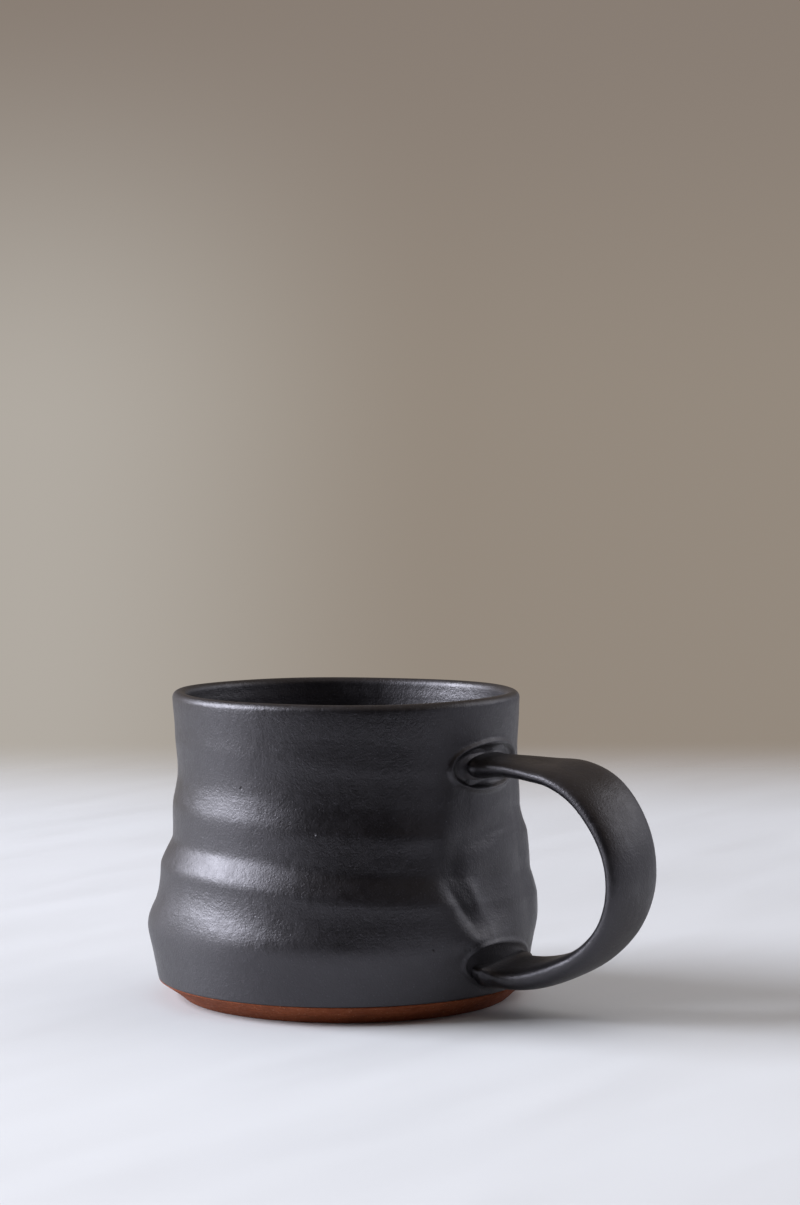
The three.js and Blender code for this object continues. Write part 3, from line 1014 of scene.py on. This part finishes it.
@dataclass(frozen=True)
class SatinBlackGlaze:
    """A charcoal black glaze, satin to matt, full of fine silvery crystals, whose glints are partly painted
    into the colour.
    """

    name: str = "satin_black_glaze"
    deep: Colour = (0.0028, 0.0022, 0.0032)
    pale: Colour = (0.0060, 0.0050, 0.0068)
    # The crystal and speck colours are lighter partly as their own tone and partly as painted glint and
    # sparkle.
    crystal_and_painted_glint: Colour = (0.034, 0.033, 0.042)
    speck_and_painted_sparkle: Colour = (0.16, 0.16, 0.18)
    painted_pit_shade: Colour = (0.004, 0.0035, 0.004)
    sheen: Colour = (0.96, 0.93, 1.0)
    roughness: Station = (0.38, 0.48)
    crystal_glint: Station = (0.1, 0.75)
    ior: float = 1.72
    wheel_grain: Station = (0.00003, 0.5)
    mottle_grain: Station = (0.00006, 0.6)
    facet_grain: Station = (0.000065, 1.0)
    pit_grain: Station = (0.0003, 0.8)
    pits: tuple[tuple[float, float, float, float], ...] = (
        (268.7, 58.0, 44.6, 0.55), (295.3, 47.5, 45.9, 0.5), (277.5, 27.2, 49.7, 0.6),
        (330.3, 18.8, 50.6, 0.4),
    )

    def build(self, effects: Effects) -> bpy.types.Material:
        """Mix the glaze."""
        material, graph, coordinates = new_material(self.name)
        place = coordinates["Object"]
        broad = graph.use(effects.mottle, place, Scale=38.0, Contrast=0.75)[0]
        fine = graph.use(effects.mottle, place, Scale=420.0, Contrast=0.9)[0]
        crystals = graph.use(effects.flecks, place, Scale=2000.0, Share=0.4, Radius=0.5)
        stars = graph.use(effects.flecks, place, Scale=900.0, Share=0.012, Radius=0.2)
        lines = graph.use(effects.wheel_lines, place, Lines=1500.0, Wander=16.0)[0]
        pits = self.pit_mask(graph, place)
        colour = graph.mix(graph.times(broad, fine), self.deep, self.pale)
        # Crystals painted lighter: partly their own silvery tone, partly a painted glint of the light on
        # them.
        glints = graph.times(crystals["Mask"], graph.span(crystals["Tone"], 0.2, 1, *self.crystal_glint))
        colour = graph.mix(glints, colour, self.crystal_and_painted_glint)
        # Rare bright specks: partly the glaze's own light specks, partly painted sparkle.
        colour = graph.mix(graph.times(stars["Mask"], 0.4), colour, self.speck_and_painted_sparkle)
        # Each pinhole is painted a plain dark with no crystals: painted shade inside the pit.
        colour = graph.mix(pits, colour, self.painted_pit_shade)
        uneven = graph.plus(graph.times(broad, 0.6), graph.times(fine, 0.4))
        rough = graph.minus(graph.span(uneven, 0.1, 0.9, *self.roughness), graph.times(glints, 0.12))
        rough = graph.plus(rough, graph.times(pits, 0.3))
        facets = graph.plus(graph.noise(place, 1500.0, 2.0, 0.6), graph.times(crystals["Mask"], 0.25))
        normal = graph.bump(self.wheel_grain, lines)
        normal = graph.bump(self.mottle_grain, fine, normal)
        normal = graph.bump(self.facet_grain, facets, normal)
        normal = graph.bump(self.pit_grain, graph.minus(1.0, pits), normal)
        graph.surface(
            Base_Color=colour, Roughness=rough, Normal=normal, IOR=self.ior, Specular_Tint=tint(self.sheen),
        )
        return material

    def pit_mask(self, graph: Graph, place: Socket) -> Socket:
        """Mark the glaze's few pinholes, each a soft dot at its own place on the wall."""
        total: Socket | float = 0.0
        for angle, height, radius, size in self.pits:
            turn = math.radians(angle)
            spot = (radius * MM * math.cos(turn), radius * MM * math.sin(turn), height * MM)
            away = graph.vector("DISTANCE", place, spot)
            total = graph.plus(total, graph.span(away, size * MM, size * MM * 0.35))
        return total


@dataclass(frozen=True)
class BareRedClay:
    """Fired red clay with no glaze: matt, a little open, with fine sand in it."""

    name: str = "bare_red_clay"
    dark: Colour = (0.135, 0.031, 0.010)
    light: Colour = (0.30, 0.080, 0.028)
    sand: Colour = (0.60, 0.36, 0.22)
    iron: Colour = (0.05, 0.022, 0.016)
    roughness: Station = (0.78, 0.95)
    ior: float = 1.35
    wheel_grain: Station = (0.00012, 0.7)
    pore_grain: Station = (0.00006, 0.8)
    sand_grain: Station = (0.00008, 0.6)

    def build(self, effects: Effects) -> bpy.types.Material:
        """Mix the clay."""
        material, graph, coordinates = new_material(self.name)
        place = coordinates["Object"]
        broad = graph.use(effects.mottle, place, Scale=55.0, Contrast=0.7)[0]
        fine = graph.use(effects.mottle, place, Scale=900.0, Contrast=0.9)[0]
        lines = graph.use(effects.wheel_lines, place, Lines=1400.0, Wander=9.0)[0]
        sand = graph.use(effects.flecks, place, Scale=1500.0, Share=0.3, Radius=0.4)["Mask"]
        iron = graph.use(effects.flecks, place, Scale=700.0, Share=0.08, Radius=0.3)["Mask"]
        tone = graph.plus(graph.times(broad, 0.6), graph.times(lines, 0.4))
        colour = graph.mix(tone, self.dark, self.light)
        colour = graph.mix(graph.times(fine, 0.35), colour, self.dark)
        colour = graph.mix(graph.times(sand, 0.35), colour, self.sand)
        colour = graph.mix(graph.times(iron, 0.8), colour, self.iron)
        rough = graph.span(fine, 0.1, 0.9, *self.roughness)
        normal = graph.bump(self.wheel_grain, lines)
        normal = graph.bump(self.pore_grain, graph.noise(place, 2400.0, 3.0, 0.65), normal)
        normal = graph.bump(self.sand_grain, sand, normal)
        graph.surface(Base_Color=colour, Roughness=rough, Normal=normal, IOR=self.ior)
        return material


@dataclass(frozen=True)
class FiredSlip:
    """The slip between strap and wall: finer and darker than the clay, scored where it was brushed on."""

    name: str = "fired_slip"
    dark: Colour = (0.19, 0.065, 0.034)
    light: Colour = (0.33, 0.125, 0.065)
    roughness: Station = (0.82, 0.96)
    scored_grain: Station = (0.0002, 0.8)

    def build(self, effects: Effects) -> bpy.types.Material:
        """Mix the slip."""
        material, graph, coordinates = new_material(self.name)
        place = coordinates["Object"]
        broad = graph.use(effects.mottle, place, Scale=260.0, Contrast=0.8)[0]
        scoring = graph.streaks(place, (300.0, 1900.0, 700.0))
        colour = graph.mix(broad, self.dark, self.light)
        rough = graph.span(scoring, 0.3, 0.7, *self.roughness)
        graph.surface(Base_Color=colour, Roughness=rough, Normal=graph.bump(self.scored_grain, scoring))
        return material


# ---- the studio
@dataclass(frozen=True)
class Softbox:
    """A rectangular light that faces the mug, hung right of, behind and above it, in metres."""

    name: str
    place: Place
    size: Station
    power: float
    colour: Colour


@dataclass
class Studio:
    """A white table, a plain warm backdrop, a window to the left and a camera."""

    camera_turn: float = 35.0
    camera_distance: float = 774.1
    camera_height: float = 144.8
    camera_pitch: float = 3.125
    camera_swing: float = 1.044
    lens: float = 88.61079
    sensor: float = 36.0
    table_front: float = -0.232
    table_back: float = 0.66
    table_half_width: float = 0.62
    table_pale: Colour = (0.615, 0.628, 0.650)
    table_dark: Colour = (0.570, 0.583, 0.600)
    table_front_painted_light: Colour = (0.665, 0.680, 0.700)
    table_grain: Station = (0.0002, 0.15)
    lit_height: float = 0.04
    window: Softbox = Softbox("window", (-1.57, 0.06, 0.86), (1.4, 1.15), 70.0, (0.88, 0.91, 1.0))
    far_window: Softbox = Softbox("far_window", (1.35, 0.48, 0.78), (1.1, 0.9), 4.6, (0.92, 0.94, 1.0))
    table_fill: Softbox = Softbox("table_fill", (0.4, 0.3, 1.3), (1.6, 1.6), 7.0, (0.95, 0.96, 1.0))
    backdrop_left: Colour = (0.440, 0.405, 0.362)
    backdrop_right: Colour = (0.296, 0.251, 0.207)
    backdrop_high: Colour = (0.245, 0.204, 0.172)
    room_right: Colour = (0.36, 0.36, 0.41)

    def side(self, right: float, back: float, up: float) -> Vector:
        """Give a place in metres from the mug, as the camera sees it."""
        turn = math.radians(self.camera_turn)
        to_right = Vector((math.cos(turn), math.sin(turn), 0))
        to_back = Vector((-math.sin(turn), math.cos(turn), 0))
        return to_right * right + to_back * back + Vector((0, 0, up))

    def set_camera(self) -> None:
        """Place the camera and aim it a little to the right of the mug."""
        data = bpy.data.cameras.new("camera")
        data.sensor_width = self.sensor
        data.lens = self.lens
        data.clip_start = 0.01
        data.clip_end = 50
        data.dof.use_dof = False
        camera = bpy.data.objects.new("camera", data)
        bpy.context.scene.collection.objects.link(camera)
        camera.location = self.side(0, -self.camera_distance * MM, self.camera_height * MM)
        yaw = math.radians(self.camera_turn - self.camera_swing)
        camera.rotation_euler = (math.radians(90 - self.camera_pitch), 0, yaw)
        bpy.context.scene.camera = camera

    def set_table(self) -> Piece:
        """Lay a white table that ends just before the camera and fades out behind and beside the mug,
        painted lighter towards its front as a painted pool of light.
        """
        clear_selection()
        bpy.ops.mesh.primitive_plane_add(size=1)
        table = take_new("table")
        table.scale = (2 * self.table_half_width, self.table_back - self.table_front, 1)
        table.location = self.side(0, (self.table_back + self.table_front) / 2, 0)
        table.rotation_euler.z = math.radians(self.camera_turn)
        bpy.ops.object.transform_apply(location=True, rotation=True, scale=True)
        material, graph, coordinates = new_material("white_table")
        sheet = graph.node("ShaderNodeSeparateXYZ", {"Vector": coordinates["UV"]}).outputs
        off_middle = graph.maths("ABSOLUTE", graph.minus(sheet["X"], 0.5))
        fade = graph.times(graph.span(off_middle, 0.38, 0.5, 1, 0), graph.span(sheet["Y"], 0.63, 1, 1, 0))
        streaks = graph.streaks(coordinates["Object"], (40.0, 7.0, 1.0))
        cloud = graph.noise(coordinates["Object"], 5.0)
        colour = graph.mix(graph.span(cloud, 0.3, 0.7), self.table_dark, self.table_pale)
        # The table is painted lighter towards its front edge: a painted pool of light.
        colour = graph.mix(graph.span(sheet["Y"], 0.05, 0.5, 1, 0), colour, self.table_front_painted_light)
        rough = graph.span(streaks, 0.2, 0.8, 0.45, 0.65)
        normal = graph.bump(self.table_grain, streaks)
        graph.surface(Base_Color=colour, Roughness=rough, Alpha=fade, Normal=normal)
        table.data.materials.append(material)
        return table

    def hang(self, box: Softbox) -> Piece:
        """Hang a softbox, and give its light."""
        data = bpy.data.lights.new(box.name, "AREA")
        data.shape = "RECTANGLE"
        data.size, data.size_y = box.size
        data.energy = box.power
        data.color = box.colour
        light = bpy.data.objects.new(box.name, data)
        bpy.context.scene.collection.objects.link(light)
        light.location = self.side(*box.place)
        facing = Vector((0, 0, self.lit_height)) - self.side(*box.place)
        light.rotation_euler = facing.to_track_quat("-Z", "Y").to_euler()
        light.visible_camera = False
        return light

    def set_lights(self, table: Piece) -> None:
        """Hang the window's light, a weak one opposite and a fill that only the table takes."""
        self.hang(self.window)
        self.hang(self.far_window)
        only_table = bpy.data.collections.new("only_table")
        only_table.objects.link(table)
        self.hang(self.table_fill).light_linking.receiver_collection = only_table

    def set_world(self) -> None:
        """Colour the backdrop: warm grey, a little paler towards the table and dim behind the camera."""
        world = bpy.data.worlds.new("backdrop")
        bpy.context.scene.world = world
        world.use_nodes = True
        graph = Graph(world.node_tree)
        direction = graph.node("ShaderNodeTexCoord").outputs["Generated"]
        height = graph.node("ShaderNodeSeparateXYZ", {"Vector": direction}).outputs["Z"]
        ahead = graph.vector("DOT_PRODUCT", direction, self.side(0, 1, 0))
        right = graph.vector("DOT_PRODUCT", direction, self.side(1, 0, 0))
        low = graph.mix(graph.span(right, -0.11, 0.04), self.backdrop_left, self.backdrop_right)
        colour = graph.mix(graph.span(height, 0.0, 0.16), low, self.backdrop_high)
        aside = graph.times(graph.span(right, 0.15, 0.6), graph.span(height, 0.2, 0.5, 1, 0))
        colour = graph.mix(aside, colour, self.room_right)
        strength = graph.span(ahead, -0.75, -0.35, 0.1, 1.0)
        back = graph.node("ShaderNodeBackground", {"Color": colour, "Strength": strength})
        graph.node("ShaderNodeOutputWorld", {"Surface": back.outputs[0]})

    def build(self) -> None:
        """Set up everything that isn't the mug."""
        self.set_camera()
        self.set_lights(self.set_table())
        self.set_world()
        view = bpy.context.scene.view_settings
        view.view_transform = "Standard"
        view.look = "None"


# ---- assembly
@dataclass
class Mug:
    """The whole mug, put together round its CAD frame."""

    wall: Wall = field(default_factory=Wall)
    finishes: dict[str, bpy.types.Material] = field(default_factory=dict)
    smooth_angle: float = 75.0

    def mix_finishes(self) -> None:
        """Mix a material for each of the record's slots."""
        effects = Effects()
        self.finishes = {
            "black_glaze": SatinBlackGlaze().build(effects),
            "terracotta": BareRedClay().build(effects),
            "slip": FiredSlip().build(effects),
        }

    def seat(self, piece: Piece, node: str, slot: str) -> None:
        """Finish a piece and put it in its CAD node's place.

        Args:
            piece: The new piece.
            node: The CAD node that it stands for.
            slot: The record's material slot that it takes.
        """
        take_up(piece)
        bpy.ops.object.shade_smooth_by_angle(angle=math.radians(self.smooth_angle))
        piece.data.materials.clear()
        piece.data.materials.append(self.finishes[slot])
        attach(piece, BODY)
        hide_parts(node)
        corners = np.array([corner[:] for corner in piece.bound_box])
        low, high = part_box(node)
        below = np.round((corners.min(0) - low) / MM, 1)
        above = np.round((corners.max(0) - high) / MM, 1)
        faces = len(piece.data.polygons)
        log.info("%s for %s: %d faces, off its box by %s to %s mm", piece.name, node, faces, below, above)

    def build(self) -> None:
        """Build every piece in order."""
        self.mix_finishes()
        cup = Cup(self.wall)
        self.seat(cup.build_clay(), "cup_body", "terracotta")
        self.seat(cup.build_outer_coat(), "outer_glaze", "black_glaze")
        self.seat(cup.build_liner(), "liner_glaze", "black_glaze")
        handle = Handle(self.wall)
        self.seat(handle.build_coat(), "handle_glaze", "black_glaze")
        self.seat(handle.build_clay(), "handle_strap", "terracotta")
        for name, collar in zip(("upper", "lower"), self.wall.collars):
            coil = JoinCoil(self.wall, collar, f"{name}_coil")
            self.seat(coil.build(), f"{name}_join_coil", "terracotta")

    def dress_cad(self, nodes: Mapping[str, Piece]) -> None:
        """Give the slip pads, which keep their CAD shape, their finish."""
        for name in ("upper_slip_joint", "lower_slip_joint"):
            piece = nodes[name]
            if not piece.material_slots:
                piece.data.materials.append(None)
            for holder in piece.material_slots:
                holder.material = self.finishes["slip"]


def main() -> None:
    """Load the frame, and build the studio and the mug."""
    logging.basicConfig(level=logging.INFO, format="%(name)s: %(message)s")
    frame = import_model()
    Studio().build()
    mug = Mug()
    mug.build()
    mug.dress_cad(frame["nodes"])


if __name__ == "__main__":
    main()
